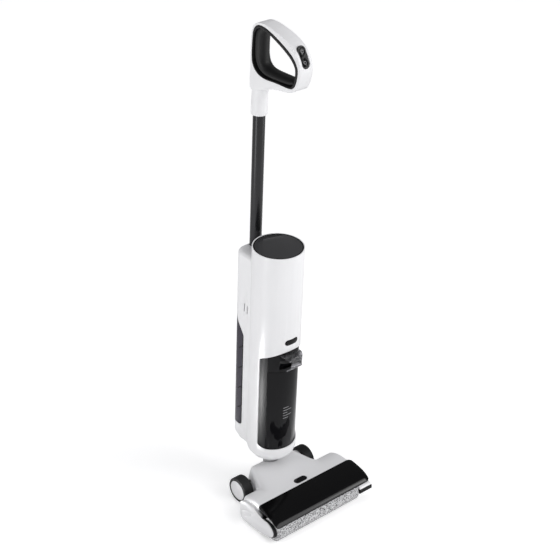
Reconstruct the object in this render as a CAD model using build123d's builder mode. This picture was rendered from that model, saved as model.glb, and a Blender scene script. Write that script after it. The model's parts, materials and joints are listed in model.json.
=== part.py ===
from build123d import *
import math
import os

# Cordless upright wet and dry floor washer, parked upright, in millimetres.
# Origin on the floor under the middle of the outline: +X to the machine's right as seen from behind,
# -Y to the front (the roller), +Z up.

# ---- driving dimensions -------------------------------------------------------------------------
wall = 2.2                  # moulded casing wall
gap = 0.4                   # clearance between pieces that move past each other
row_shift = 0.365           # moves the whole design along Y so that its box is centred on the origin

head_half = 138.6           # half the width of the floor head
cap_inner = 131.3           # inner face of the removable left side cap
arm_inner = 104.4           # inner face of the belt housing on the right
wing_front = -66.0          # front edge of the white head cover
wing_rear = -6.0
wing_top = 68.5
hump_top = 71.5             # crown of the hump over the neck joint
hump_rear = 72.0
roller_y = -109.0
roller_r = 28.5
roller_core_r = 18.0
roller_left = -130.7
roller_right = 104.0
stub_r = 6.0                # stub shaft the roller turns on
pulley_r = 8.0
running = 0.05              # radial running clearance of shafts
motor_y = -38.0             # roller drive motor axis
motor_z = 40.0
wheel_y = 46.0
wheel_r = 30.0
wheel_inner = 78.0
wheel_outer = 104.0
hub_r = 23.5

pivot_y = 54.0              # the body tips about this line
pivot_z = 46.0
body_lean = 3.0             # parked, the body leans this far forward onto its stop
neck_r = 17.0

body_r = 56.0               # main cylinder
body_y = 54.0
body_low = 118.0            # joint between the lower cup and the main cylinder
cup_low = 88.0
body_top = 631.5
bay_low = 135.0             # opening of the dirty water tank
bay_high = 396.0
bay_half_angle = 76.0       # half the opening, seen from above
tank_half = 43.8            # half width of the dirty water tank
tank_back = 82.0
tank_r = 53.3
tank_low = 136.0
lid_low = 345.0
back_half = 47.3            # flat sides of the back housing
back_front = 84.0
back_rear = 145.0
back_low = 118.0
back_high = 602.0
back_corner = 26.0
window_front = 104.0        # window of the clean water tank
window_low = 153.5
window_high = 446.0
release_z = 421.0           # push button over the dirty water tank
latch_z = 470.0             # push button over the clean water tank
flap_z = 408.0              # filler flap of the clean water tank
stem_r = 3.0                # stems of the push buttons
chin_z = 38.0               # lower edge of the belt arm's nose, where the bumper starts
tube_y = 129.0
tube_r = 13.0
tube_low = 500.0
tube_high = 960.0
collar_low = 908.0
collar_r = 17.2
pin_z = 940.0               # snap pin that holds the handle on its tube
pin_r = 3.0
handle_half = 16.0          # half width of the handle loop

lean_axis = Axis((0, pivot_y, pivot_z), (1, 0, 0))
panel_plane = Plane(origin=(0, 3.2, 1071.6), x_dir=(0, 0.456, 0.89), z_dir=(0, -0.89, 0.456))
os.makedirs("parts", exist_ok=True)


def write(name, part, leaned=False):
    """Lean a body piece forward about the neck joint, label it and write its STEP file."""
    placed = part.rotate(lean_axis, body_lean) if leaned else part
    placed = placed.moved(Location((0, row_shift, 0)))
    placed.label = name
    export_step(placed, f"parts/{name}.step")


def upright(outer, low, high, inner=0.0, x=0.0, y=body_y):
    """A vertical cylinder or tube between two heights."""
    with BuildPart() as made:
        with BuildSketch(Plane.XY.offset(low)):
            with Locations((x, y)):
                Circle(outer)
                if inner > 0:
                    Circle(inner, mode=Mode.SUBTRACT)
        extrude(amount=high - low)
    return made.part


def crossways(outer, left, right, y, z, inner=0.0):
    """A cylinder or tube along X between two sides."""
    with BuildPart() as made:
        with BuildSketch(Plane.YZ.offset(left)):
            with Locations((y, z)):
                Circle(outer)
                if inner > 0:
                    Circle(inner, mode=Mode.SUBTRACT)
        extrude(amount=right - left)
    return made.part


def block(x, y, z):
    """A plain box given as three (low, high) pairs."""
    with BuildPart() as made:
        with BuildSketch(Plane.XY.offset(z[0])):
            with Locations(((x[0] + x[1]) / 2, (y[0] + y[1]) / 2)):
                Rectangle(x[1] - x[0], y[1] - y[0])
        extrude(amount=z[1] - z[0])
    return made.part


def side_slab(points, rounding, left, right):
    """A side outline in (y, z) with rounded corners, extruded along X."""
    with BuildPart() as made:
        with BuildSketch(Plane.YZ.offset(left)) as outline:
            with BuildLine():
                Polyline(*points, close=True)
            make_face()
            if rounding > 0:
                fillet(outline.vertices(), rounding)
        extrude(amount=right - left)
    return made.part


# ---- floor head ---------------------------------------------------------------------------------
side_face = ((8, 55), (-64, 55), (-82, 46), (-108, 46), (-123, 34), (-122, 20), (-106, 11.5),
             (-79, 5), (-8, 3), (10, 14))


def head_form(inset):
    """Outside of the head cover: a low wing across the head and a hump over the neck joint."""
    low = 22.0 if inset == 0 else 10.0
    rounding = 11.0 - inset
    with BuildPart() as form:
        with BuildSketch(Plane.YZ.offset(inset - cap_inner)):
            with BuildLine():
                Polyline((wing_front + inset, low), (wing_front + inset, wing_top - inset),
                         (-34, wing_top - inset), (wing_rear - inset, 58 - inset),
                         (wing_rear - inset, low), close=True)
            make_face()
        extrude(amount=cap_inner + head_half - 2.4 - 2 * inset)
        ends = form.edges().filter_by(GeomType.LINE).group_by(Axis.X)
        fillet(ends[0].group_by(Axis.Z)[-1] + ends[-1].group_by(Axis.Z)[-1], rounding)
        with BuildSketch(Plane.XY.offset(low)):
            with Locations((0, (hump_rear - 34) / 2)):
                spread = (22.0 - low) * math.tan(math.radians(17))
                RectangleRounded(148 - 2 * inset + 2 * spread, hump_rear + 34 - 2 * inset + 2 * spread, 34)
        extrude(amount=hump_top - inset - low, taper=17)
        fillet(form.faces().sort_by(Axis.Z)[-1].edges(), 12 - inset)
    return form.part


with BuildPart() as head_top:
    add(head_form(0))
    add(head_form(wall), mode=Mode.SUBTRACT)
    add(block((-21.5, 21.5), (33, 90), (40, 90)), mode=Mode.SUBTRACT)
    add(block((-21.5, 21.5), (54, 90), (28, 60)), mode=Mode.SUBTRACT)
    add(block((arm_inner + 2, 134), (-70, -60), (22, 58)), mode=Mode.SUBTRACT)
    with BuildSketch(Plane.XY.offset(60)):
        with Locations((0, -53)):
            SlotOverall(34.8, 16.8)
    extrude(amount=20, mode=Mode.SUBTRACT)
    add(crossways(4.4, -90, 90, wheel_y, wheel_r), mode=Mode.SUBTRACT)
write("head_top", head_top.part)

with BuildPart() as head_base:
    add(block((-126, 133.6), (wing_front + 3, wing_rear - 3), (6, 21.6)))
    add(block((-124, 131.6), (wing_front + 5, wing_rear - 5), (9, 30)), mode=Mode.SUBTRACT)
    add(block((-64, 64), (wing_rear - 5.2, 66), (8, 21.6)))
    add(block((-62, 62), (wing_rear - 8, 64), (11, 30)), mode=Mode.SUBTRACT)
    for side in (-1, 1):
        low, high = sorted((side * 52, side * 62.5))
        add(block((low, high), (wheel_y - 7, wheel_y + 7), (10, wheel_r + 7)))
        add(crossways(4, low - 1, high + 1, wheel_y, wheel_r), mode=Mode.SUBTRACT)
    # curved wall behind the roller, with the suction slot and its duct back to the neck
    chamber_r = roller_r + 3.5
    with BuildSketch(Plane.YZ.offset(-129)):
        with Locations((roller_y, roller_r)):
            Circle(chamber_r + 2)
            Circle(chamber_r, mode=Mode.SUBTRACT)
        with Locations((roller_y + 45, 29)):
            Rectangle(42, 44, mode=Mode.INTERSECT)
    extrude(amount=129 + arm_inner - 0.4)
    add(block((-126, arm_inner - 0.4), (roller_y + chamber_r, wing_front + 5), (14, 17)))
    add(block((-15.5, 15.5), (-78, 30), (11, 21)))
    add(block((-13.5, 13.5), (-90, 31), (13, 19)), mode=Mode.SUBTRACT)
write("head_base", head_base.part)

squeegee = side_slab(((-77, 0), (-74.4, 0), (-72, 5.2), (-64, 5.2), (-64, 5.9), (-73.4, 5.9)), 0, -124, 100)
write("squeegee", squeegee)
with BuildPart() as spray_bar:
    add(crossways(2.6, -110, 96, -71.5, 57.8, 1.4))
    add(side_slab(((-78.6, 55), (-76.6, 52), (-68, 52), (-68, 55)), 0, -126, 102))
write("spray_bar", spray_bar.part)

# Roller drive: motor, pulleys and belt in the right-hand arm.
with BuildPart() as roller_motor:
    add(crossways(18, 34, 96, motor_y, motor_z))
    add(crossways(3, 96, 121, motor_y, motor_z))
write("roller_motor", roller_motor.part)
with BuildPart() as motor_pulley:
    add(crossways(pulley_r, 108, 120.6, motor_y, motor_z, 3))
    for flange in (107.6, 119.6):
        add(crossways(pulley_r + 2.5, flange, flange + 1.4, motor_y, motor_z, 3))
write("motor_pulley", motor_pulley.part)
with BuildPart() as roller_pulley:
    add(crossways(pulley_r, 108, 120.6, roller_y, roller_r))
    add(crossways(4, 120.6, 134.2, roller_y, roller_r))
    with BuildSketch(Plane.YZ.offset(95)):
        with Locations((roller_y, roller_r)):
            RegularPolygon(7, 6)
    extrude(amount=13)
write("roller_pulley", roller_pulley.part)


def belt_outline(growth):
    """Outline of a belt around both pulleys, as a hull of two circles."""
    with BuildSketch(Plane.YZ.offset(109.4)) as outline:
        with Locations((roller_y, roller_r)):
            Circle(pulley_r + 0.1 + growth)
        with Locations((motor_y, motor_z)):
            Circle(pulley_r + 0.1 + growth)
        make_hull()
    return outline.sketch


with BuildPart() as drive_belt:
    extrude(belt_outline(1.4), amount=9.6)
    extrude(belt_outline(0), amount=9.6, mode=Mode.SUBTRACT)
write("drive_belt", drive_belt.part)

arm_face = ((-66.4, 58), (-80, 57.5), (-108, 55), (-122, 48), (-139, 43.6), (-140.6, chin_z + 0.01),
            (-123, chin_z + 0.01), (-122, 20), (-106, 11.5), (-79, 5), (-66.4, 5))
with BuildPart() as drive_arm:
    add(side_slab(arm_face, 2, arm_inner, head_half - 2.4))
    add(side_slab(((-64, 55), (-80, 54), (-106, 51), (-119.6, 43), (-119.6, 21), (-106, 14), (-79, 8), (-64, 8)),
                  2, arm_inner + 2, head_half), mode=Mode.SUBTRACT)
    add(crossways(8.6, arm_inner - 1, arm_inner + 3, roller_y, roller_r), mode=Mode.SUBTRACT)
    add(crossways(7, 129.8, 134.2, roller_y, roller_r))
    add(block((129.8, head_half - 2.4), (roller_y - 7, roller_y + 7), (13.2, roller_r)))
    add(crossways(4 + running, 128, 134.4, roller_y, roller_r), mode=Mode.SUBTRACT)
write("drive_arm", drive_arm.part)
with BuildPart() as side_cover:
    add(side_slab(side_face, 5, head_half - 2.2, head_half))
write("side_cover", side_cover.part)
with BuildPart() as bumper:
    add(side_slab(((-130.4, chin_z), (-141, chin_z), (-141, 29), (-137, 25), (-125.4, 30)), 0,
                  arm_inner, head_half))
    fillet(bumper.edges().filter_by(Axis.X).group_by(Axis.Y)[0], 2)
write("bumper", bumper.part)

# Removable left side cap, which carries the roller's stub shaft.
with BuildPart() as side_cap:
    add(side_slab(side_face, 5, -head_half, 1.6 - head_half))
    add(side_slab(((8, 55), (-64, 55), (-80, 46), (-80, 6), (-8, 3), (10, 14)), 4, 1.2 - head_half, -cap_inner))
    add(side_slab(((8, 52), (-63, 52), (-77, 44), (-77, 9), (-8, 6), (8, 15)), 3, 3.4 - head_half, 0),
        mode=Mode.SUBTRACT)
    with BuildSketch(Plane.YZ.offset(-head_half)):
        with Locations(Location((-28, 28), -27)):
            SlotOverall(38, 15)
            SlotOverall(35, 12, mode=Mode.SUBTRACT)
    extrude(amount=0.7, mode=Mode.SUBTRACT)
write("side_cap", side_cap.part)
with BuildPart() as cap_rim:
    add(side_slab(((-80.4, 47.4), (-108, 47.4), (-126, 38), (-126.5, 20), (-108, 9), (-80.4, 4)), 3,
                  2 - head_half, roller_left - 0.6))
    add(crossways(stub_r, roller_left - 0.7, -112, roller_y, roller_r))
write("cap_rim", cap_rim.part)

# Roller.
write("roller_core", crossways(roller_core_r, roller_left, roller_right - 0.6, roller_y, roller_r, 15.4))
write("roller_sleeve", crossways(roller_r, roller_left, roller_right - 0.6, roller_y, roller_r, roller_core_r))
with BuildPart() as roller_bushes:
    add(crossways(15.4, roller_left, -114, roller_y, roller_r, stub_r + running))
    with BuildSketch(Plane.YZ.offset(90)):
        with Locations((roller_y, roller_r)):
            Circle(15.4)
            RegularPolygon(7.25, 6, mode=Mode.SUBTRACT)
    extrude(amount=13.4)
write("roller_bushes", roller_bushes.part)

# Roller cover and its release button.
cover_line = ((-66.6, wing_top + 0.9), (-98, 65.2), (-117, 61.2), (-131.5, 53.5), (-134.8, 46.5))
with BuildPart() as roller_cover:
    with BuildSketch(Plane.YZ.offset(1.6 - head_half)) as section:
        with BuildLine():
            Polyline(*cover_line, (-132.6, 46.5), (-129.6, 52), (-116.4, 59), (-97.7, 62.9),
                     (-66.6, 66.4), close=True)
        make_face()
        fillet(section.vertices().group_by(Axis.X)[1] + section.vertices().group_by(Axis.X)[2], 1.5)
    extrude(amount=2 * head_half - 3.2)
    add(block((-140, 140), (-67, -60), (60, 75)), mode=Mode.SUBTRACT)
write("roller_cover", roller_cover.part)
with BuildPart() as cover_release:
    with BuildSketch(Plane.XY.offset(wing_top - 3)):
        with Locations((0, -53)):
            SlotOverall(34, 16)
    extrude(amount=4.2)
    fillet(cover_release.faces().sort_by(Axis.Z)[-1].edges(), 1.2)
    add(upright(4, 56, wing_top - 3, y=-53))
write("cover_release", cover_release.part)
# Wheels on two stub axles.
with BuildPart() as wheel_axles:
    for side in (-1, 1):
        ends = sorted((side * 62.2, side * 101.0))
        add(crossways(4, ends[0], ends[1], wheel_y, wheel_r))
write("wheel_axles", wheel_axles.part)
for side, name in ((-1, "left"), (1, "right")):
    low, high = sorted((side * wheel_inner, side * wheel_outer))
    with BuildPart() as tyre:
        add(crossways(wheel_r, low, high, wheel_y, wheel_r, hub_r))
        fillet(tyre.edges().filter_by(GeomType.CIRCLE).group_by(SortBy.RADIUS)[-1], 3.5)
    write(f"tyre_{name}", tyre.part)
    with BuildPart() as hub:
        add(crossways(hub_r, low + 0.8, high - 0.8, wheel_y, wheel_r))
        recess = (low, low + 14) if side > 0 else (high - 14, high)
        add(crossways(hub_r - 3, recess[0], recess[1], wheel_y, wheel_r, 9), mode=Mode.SUBTRACT)
        bore = (low - 1, 101.6) if side > 0 else (-101.6, high + 1)
        add(crossways(4 + running, bore[0], bore[1], wheel_y, wheel_r), mode=Mode.SUBTRACT)
    write(f"hub_{name}", hub.part)

# Neck joint: brackets on the head, yoke and pins that tip in them, ring the body turns on.
with BuildPart() as pivot_brackets:
    for side in (-1, 1):
        low, high = sorted((side * 22.5, side * 30.5))
        add(side_slab(((40, 11), (63.5, 11), (61.6, 46), (56, 54.5), (46, 54.5)), 1, low, high))
        add(crossways(5 + running, low - 1, high + 1, pivot_y, pivot_z), mode=Mode.SUBTRACT)
write("pivot_brackets", pivot_brackets.part)
with BuildPart() as neck_yoke:
    add(crossways(15, -21, 21, pivot_y, pivot_z))
    add(crossways(5, -30.4, 30.4, pivot_y, pivot_z))
    add(upright(neck_r, pivot_z, 98.6))
    add(upright(20.5, 96.4, 98.6))
    add(upright(13.5, pivot_z + 18, 99), mode=Mode.SUBTRACT)
write("neck_yoke", neck_yoke.part, leaned=True)
write("neck_hose", upright(13.2, pivot_z + 18.4, 98, 11.6), leaned=True)

# ---- upright body -------------------------------------------------------------------------------
with BuildPart() as lower_cup:
    with BuildSketch(Plane.XZ.offset(-body_y)) as section:
        with BuildLine():
            Line((neck_r + gap, cup_low), (38, cup_low))
            ThreePointArc((38, cup_low), (50.5, 97), (body_r, body_low))
            Line((body_r, body_low), (body_r - wall, body_low))
            ThreePointArc((body_r - wall, body_low), (48.8, 98.7), (38, cup_low + wall))
            Line((38, cup_low + wall), (neck_r + gap, cup_low + wall))
            Line((neck_r + gap, cup_low + wall), (neck_r + gap, cup_low))
        make_face()
    revolve(axis=Axis((0, body_y, 0), (0, 0, 1)))
write("lower_cup", lower_cup.part, leaned=True)
with BuildPart() as swivel_ring:
    add(upright(30, cup_low + wall, 96, neck_r + gap))
    add(upright(30, 96, 102, 21))
    add(upright(30, 99.2, 102, neck_r + gap))
write("swivel_ring", swivel_ring.part, leaned=True)


def mouth(growth):
    """Opening of the tank bay seen from the front, as a prism: rounded foot and arched top."""
    half = body_r * math.sin(math.radians(bay_half_angle)) + growth
    low = bay_low - growth
    shoulder = bay_high - 18 + growth
    with BuildPart() as made:
        with BuildSketch(Plane.XZ.offset(-body_y + 15)) as outline:
            with BuildLine():
                Line((-half, low), (half, low))
                Line((half, low), (half, shoulder))
                ThreePointArc((half, shoulder), (0, bay_high + 3 + growth), (-half, shoulder))
                Line((-half, shoulder), (-half, low))
            make_face()
            fillet(outline.vertices().group_by(Axis.Y)[0], 14)
            fillet(outline.vertices().group_by(Axis.Y)[-1], 9)
        extrude(amount=90, both=True)
    return made.part


bay_cut = mouth(0) & block((-70, 70), (-20, body_y - 14), (100, 420))

with BuildPart() as main_shell:
    add(upright(body_r, body_low, body_top, body_r - wall))
    add(bay_cut, mode=Mode.SUBTRACT)
    with BuildSketch(Plane.XZ.offset(-20)):
        with Locations((0, release_z)):
            SlotOverall(34.8, 13.8)
    extrude(amount=40, mode=Mode.SUBTRACT)
    add(block((-30, 30), (100, 120), (body_low + 6, body_top - 60)), mode=Mode.SUBTRACT)
write("main_shell", main_shell.part, leaned=True)

liner_r = body_r - wall
with BuildPart() as bay_liner:
    add(upright(liner_r, bay_low - 6, bay_high + 10))
    add(block((-tank_half - 0.6, tank_half + 0.6), (-10, tank_back + 0.6), (bay_low - 1.4, bay_high + 5)),
        mode=Mode.SUBTRACT)
    add(block((-60, 60), (tank_back + 2.8, 120), (bay_low - 10, bay_high + 20)), mode=Mode.SUBTRACT)
    for side in (-1, 1):
        low, high = sorted((side * (tank_half + 2.6), side * 60))
        add(block((low, high), (44, 90), (bay_low - 10, bay_high + 20)), mode=Mode.SUBTRACT)
write("bay_liner", bay_liner.part, leaned=True)


def tank_slice(inset, low, high):
    """The dirty water tank's plan, round front with flat sides and back, between two heights."""
    with BuildSketch(Plane.XY.offset(low)) as plan:
        with Locations((0, body_y)):
            Circle(tank_r - inset)
        with Locations((0, (tank_back - inset) / 2 - 20)):
            Rectangle(2 * (tank_half - inset), tank_back - inset + 40, mode=Mode.INTERSECT)
        fillet(plan.vertices().group_by(Axis.Y)[-1], 8 - inset)
    return extrude(plan.sketch, amount=high - low)


with BuildPart() as dirty_tank:
    add(tank_slice(0, tank_low, lid_low))
    add(mouth(-0.6), mode=Mode.INTERSECT)
    add(tank_slice(wall, tank_low + wall, lid_low + wall), mode=Mode.SUBTRACT)
    add(upright(15, tank_low - 1, tank_low + 5, y=57), mode=Mode.SUBTRACT)
write("dirty_tank", dirty_tank.part, leaned=True)
write("inlet_pipe", upright(15, tank_low, 318, 12.8, y=57), leaned=True)
write("float_ball", upright(20.4, 286, 304, 15.6, y=57), leaned=True)

with BuildPart() as tank_lid:
    add(tank_slice(0, lid_low + 1, bay_high + 5))
    add(mouth(-0.8), mode=Mode.INTERSECT)
    add(tank_slice(3, lid_low - 1, bay_high - 13), mode=Mode.SUBTRACT)
    add(block((-25, 25), (-10, 8), (lid_low + 8, bay_high)), mode=Mode.SUBTRACT)
    add(block((-25, 25), (8, 10.2), (lid_low + 8, bay_high - 9)))
write("tank_lid", tank_lid.part, leaned=True)
with BuildPart() as tank_seal:
    add(tank_slice(0.4, lid_low, lid_low + 1))
    add(tank_slice(3.2, lid_low, lid_low + 1), mode=Mode.SUBTRACT)
write("tank_seal", tank_seal.part, leaned=True)
with BuildPart() as tank_handle:
    bail = ((8, 389.5), (-6, 391), (-19, 388), (-24.5, 378), (-23, 366), (-15, 358), (-12.4, 359.2),
            (-19.6, 367), (-21.4, 377), (-17, 385), (-6, 387.6), (8, 386.2))
    add(side_slab(bail, 0, -24, 24))
write("tank_handle", tank_handle.part, leaned=True)
with BuildPart() as air_filter:
    add(block((-30, 30), (24, 70), (lid_low + 4, lid_low + 26)))
    with Locations((0, 47, lid_low + 26)):
        with GridLocations(6, 1, 9, 1):
            Box(2, 40, 8, mode=Mode.SUBTRACT)
write("air_filter", air_filter.part, leaned=True)

with BuildPart() as tank_release:
    with BuildSketch(Plane.XZ.offset(-6)):
        with Locations((0, release_z)):
            SlotOverall(34, 13)
    extrude(amount=20)
    add(upright(body_r + 0.6, 400, 440), mode=Mode.INTERSECT)
    with BuildSketch(Plane.XZ.offset(-14)):
        with Locations((0, release_z)):
            Circle(stem_r)
    extrude(amount=9)
write("tank_release", tank_release.part, leaned=True)

# Suction motor with its fan.
with BuildPart() as motor_housing:
    add(upright(44, 450, 520, 41.5))
    add(upright(44, 520, 523, 10))
    add(upright(44, 447, 450, 22))
write("motor_housing", motor_housing.part, leaned=True)
with BuildPart() as suction_fan:
    add(upright(19, 486, 517))
    add(upright(3, 453, 525))
    add(upright(38, 474, 476))
    add(upright(8, 456.5, 474))
    with BuildSketch(Plane.XY.offset(458)):
        with Locations((0, body_y)):
            with PolarLocations(22, 9):
                Rectangle(28.6, 1.6)
    extrude(amount=16)
write("suction_fan", suction_fan.part, leaned=True)

# Battery, boards and display in the top of the cylinder.
with BuildPart() as battery_pack:
    for index in range(6):
        angle = math.radians(60 * index)
        add(upright(10.6, 532, 602, x=30 * math.cos(angle), y=body_y + 30 * math.sin(angle)))
    add(upright(10.6, 532, 602))
    add(upright(46, 529, 532))
    add(upright(46, 602, 605))
write("battery_pack", battery_pack.part, leaned=True)
with BuildPart() as display_bezel:
    add(upright(53.7, 624, body_top, 49.6))
    add(upright(51, body_top - 2.4, body_top + 1, 0), mode=Mode.SUBTRACT)
    chamfer(display_bezel.faces().sort_by(Axis.Z)[-1].edges().sort_by(SortBy.RADIUS)[-1], 0.5)
write("display_bezel", display_bezel.part, leaned=True)
with BuildPart() as display_lens:
    add(upright(50.9, body_top - 2.4, body_top - 0.2))
    fillet(display_lens.faces().sort_by(Axis.Z)[-1].edges(), 0.5)
write("display_lens", display_lens.part, leaned=True)


# ---- back housing, clean water tank -------------------------------------------------------------
def back_column(inset, low, high):
    """The back housing's outline between two heights, shrunk by inset."""
    with BuildPart() as made:
        with BuildSketch(Plane.XY.offset(low)) as plan:
            with BuildLine():
                half = back_half - inset
                Polyline((-half, back_front), (half, back_front), (half, back_rear - inset),
                         (-half, back_rear - inset), close=True)
            make_face()
            fillet(plan.vertices().group_by(Axis.Y)[-1], back_corner - inset)
        extrude(amount=high - low)
    return made.part


def window_form(growth):
    """Side outline of the clean water tank: square foot, swept-back top."""
    front = window_front - growth
    with BuildPart() as made:
        with BuildSketch(Plane.YZ.offset(-60)) as outline:
            with BuildLine():
                Polyline((160, window_low - growth), (front, window_low - growth),
                         (front, window_high - 46), (back_rear - 8, window_high + growth),
                         (160, window_high + growth), close=True)
            make_face()
            fillet(outline.vertices().sort_by(Axis.X)[0:2], 10)
        extrude(amount=120)
    return made.part


def back_ends(inset):
    """Cut that slopes the foot of the back housing."""
    return side_slab(((160, 141 + inset), (back_rear, 134 + inset), (106, back_low + inset), (100, 90), (160, 90)),
                     0, -60, 60)


with BuildPart() as back_hollow:
    add(back_column(wall, back_low + 3, back_high - 8))
    add(back_ends(3), mode=Mode.SUBTRACT)
    add(block((-60, 60), (window_front - 2.6, 160), (window_low - 2.4, window_high + 2.4)), mode=Mode.SUBTRACT)
with BuildPart() as rear_shell:
    add(back_column(0, back_low, back_high))
    add(back_ends(0), mode=Mode.SUBTRACT)
    top_edges = rear_shell.faces().sort_by(Axis.Z)[-1].edges()
    fillet(top_edges.sort_by(Axis.Y)[1:], 9)
    add(back_hollow.part, mode=Mode.SUBTRACT)
    add(window_form(0), mode=Mode.SUBTRACT)
    add(upright(body_r, 0, 700), mode=Mode.SUBTRACT)
    add(upright(tube_r + 0.4, 500, 700, y=tube_y), mode=Mode.SUBTRACT)
    with BuildSketch(Plane.YZ.offset(-60)):
        with Locations((104, 472), (94, 470)):
            SlotOverall(21, 3, rotation=90)
    extrude(amount=120, mode=Mode.SUBTRACT)
    with BuildSketch(Plane.XZ.offset(-back_rear + 10)):
        with Locations((0, latch_z)):
            SlotOverall(28.8, 12.8)
    extrude(amount=-20, mode=Mode.SUBTRACT)
write("rear_shell", rear_shell.part, leaned=True)

water_space = back_column(wall, window_low - 2, window_high + 2) & window_form(-2.6)
with BuildPart() as clean_tank:
    add(back_column(0.1, window_low - 2, window_high + 2))
    add(window_form(-0.5), mode=Mode.INTERSECT)
    add(water_space, mode=Mode.SUBTRACT)
    with BuildSketch(Plane.XZ.offset(-back_rear + 6)):
        with Locations((0, flap_z)):
            Circle(9)
    extrude(amount=-12, mode=Mode.SUBTRACT)
write("clean_tank", clean_tank.part, leaned=True)
with BuildPart() as tank_baffles:
    for level in (190, 255, 320):
        add(side_slab(((112.5, level + 8), (112.5, level + 10), (138, level - 12), (138, level - 14)), 0, -44, 44))
    add(back_column(wall, 160, 400), mode=Mode.INTERSECT)
write("tank_baffles", tank_baffles.part, leaned=True)
with BuildPart() as filler_flap:
    with BuildSketch(Plane.XZ.offset(-back_rear)):
        with Locations((0, flap_z)):
            Circle(13)
    extrude(amount=-2.2)
    with BuildSketch(Plane.XZ.offset(-back_rear)):
        with Locations((0, flap_z)):
            Circle(8.6)
    extrude(amount=2)
    add(crossways(1.9, -8, 8, back_rear + 2, flap_z - 13.6))
write("filler_flap", filler_flap.part, leaned=True)
with BuildPart() as tank_latch:
    with BuildSketch(Plane.XZ.offset(-back_rear + 4)):
        with Locations((0, latch_z)):
            SlotOverall(28, 12)
    extrude(amount=-4.6)
    with BuildSketch(Plane.XZ.offset(-back_rear + 12)):
        with Locations((0, latch_z)):
            Circle(stem_r)
    extrude(amount=-8)
write("tank_latch", tank_latch.part, leaned=True)
# Flat springs behind the two release buttons of the body.
with BuildPart() as return_springs:
    for plate, tip, level in ((14.4, 22, release_z), (back_rear - 12.4, back_rear - 20, latch_z)):
        step = math.copysign(0.8, tip - plate)
        near, far = sorted((plate, plate + step))
        add(block((-10, 10), (near, far), (level - 4, level + 4)))
        with BuildSketch(Plane.XZ.offset(-far)):
            with Locations((0, level)):
                Circle(stem_r + gap)
        extrude(amount=far - near, mode=Mode.SUBTRACT)
        near, far = sorted((plate, tip))
        for side in (-1, 1):
            low, high = sorted((side * 9, side * 10))
            add(block((low, high), (near, far), (level - 4, level + 4)))
write("return_springs", return_springs.part, leaned=True)
with BuildPart() as water_pump:
    add(block((-30, 2), (112.5, 123), (452, 464)))
    add(upright(2.2, 124, 470, 1.4, x=41.5, y=98.2))
write("water_pump", water_pump.part, leaned=True)
with BuildPart() as tube_socket:
    add(upright(15.2, tube_low - 8, back_high - 8.2, tube_r, y=tube_y))
    add(upright(15.2, tube_low - 12, tube_low - 8, y=tube_y))
    add(back_column(wall + 0.2, tube_low - 20, back_high), mode=Mode.INTERSECT)
write("tube_socket", tube_socket.part, leaned=True)

# ---- handle tube and handle ---------------------------------------------------------------------
with BuildPart() as handle_tube:
    add(upright(tube_r, tube_low, tube_high, tube_r - 1.4, y=tube_y))
    with BuildSketch(Plane.XZ.offset(-tube_y)):
        with Locations((0, pin_z)):
            Circle(pin_r + 0.2)
    extrude(amount=-20, mode=Mode.SUBTRACT)
write("handle_tube", handle_tube.part, leaned=True)
with BuildPart() as snap_pin:
    with BuildSketch(Plane.XZ.offset(-tube_y - 9)):
        with Locations((0, pin_z)):
            Circle(pin_r)
    extrude(amount=-5.2)
    add(block((-3, 3), (tube_y + 9, tube_y + 10), (pin_z - 25, pin_z + 3)))
    add(block((-3, 3), (tube_y - 9, tube_y + 10), (pin_z - 25, pin_z - 24)))
write("snap_pin", snap_pin.part, leaned=True)

handle_face = ((144, 960), (141, 1000), (141, 1109.5), (76, 1109), (14, 1091), (-8, 1050), (2, 998), (64, 986),
               (112, 966))
grip_face = ((136.4, 1104), (92, 1104), (18, 1074), (-1, 1048), (9, 1004), (112, 997), (136.4, 1022))
loop_face = ((112, 1097), (93.5, 1097), (22.3, 1068.2), (6.5, 1046.5), (12.5, 1020), (100.5, 1014),
             (112, 1025.7))
with BuildPart() as handle_shell:
    add(side_slab(handle_face, 10, -handle_half, handle_half))
    fillet(handle_shell.edges().filter_by(Plane.YZ), 3)
    with BuildSketch(Plane.XY.offset(collar_low)):
        with Locations((0, tube_y)):
            Circle(collar_r)
    with BuildSketch(Plane.XY.offset(985)):
        with Locations((0, tube_y - 4)):
            RectangleRounded(2 * handle_half - 1, 30, 10)
    loft()
    add(side_slab(grip_face, 9, -30, 30), mode=Mode.SUBTRACT)
    add(upright(tube_r + 0.01, collar_low - 5, tube_high + 1, y=tube_y), mode=Mode.SUBTRACT)
    with BuildSketch(panel_plane.offset(-7)):
        SlotOverall(46.4, 20.4)
    extrude(amount=20, mode=Mode.SUBTRACT)
    with BuildSketch(Plane.XZ.offset(-tube_y - 12)):
        with Locations((0, pin_z)):
            Circle(pin_r + 0.2)
    extrude(amount=-12, mode=Mode.SUBTRACT)
for half, keep in (("right", Keep.TOP), ("left", Keep.BOTTOM)):
    with BuildPart() as handle_half_shell:
        add(handle_shell.part)
        split(bisect_by=Plane.YZ, keep=keep)
    write(f"handle_shell_{half}", handle_half_shell.part, leaned=True)
with BuildPart() as handle_grip:
    add(side_slab(grip_face, 9, -handle_half - 0.8, handle_half + 0.8))
    add(side_slab(loop_face, 6, -30, 30), mode=Mode.SUBTRACT)
    fillet(handle_grip.edges().filter_by(Plane.YZ), 2)
write("handle_grip", handle_grip.part, leaned=True)
with BuildPart() as button_panel:
    with BuildSketch(panel_plane.offset(-3)):
        SlotOverall(46, 20)
    extrude(amount=4)
    fillet(button_panel.faces().sort_by(Axis((0, 0, 0), (0, -0.89, 0.456)))[-1].edges(), 0.8)
    with BuildSketch(panel_plane.offset(-4)):
        with Locations((-11, 0), (11, 0)):
            Circle(7.3)
    extrude(amount=8, mode=Mode.SUBTRACT)
write("button_panel", button_panel.part, leaned=True)
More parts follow.
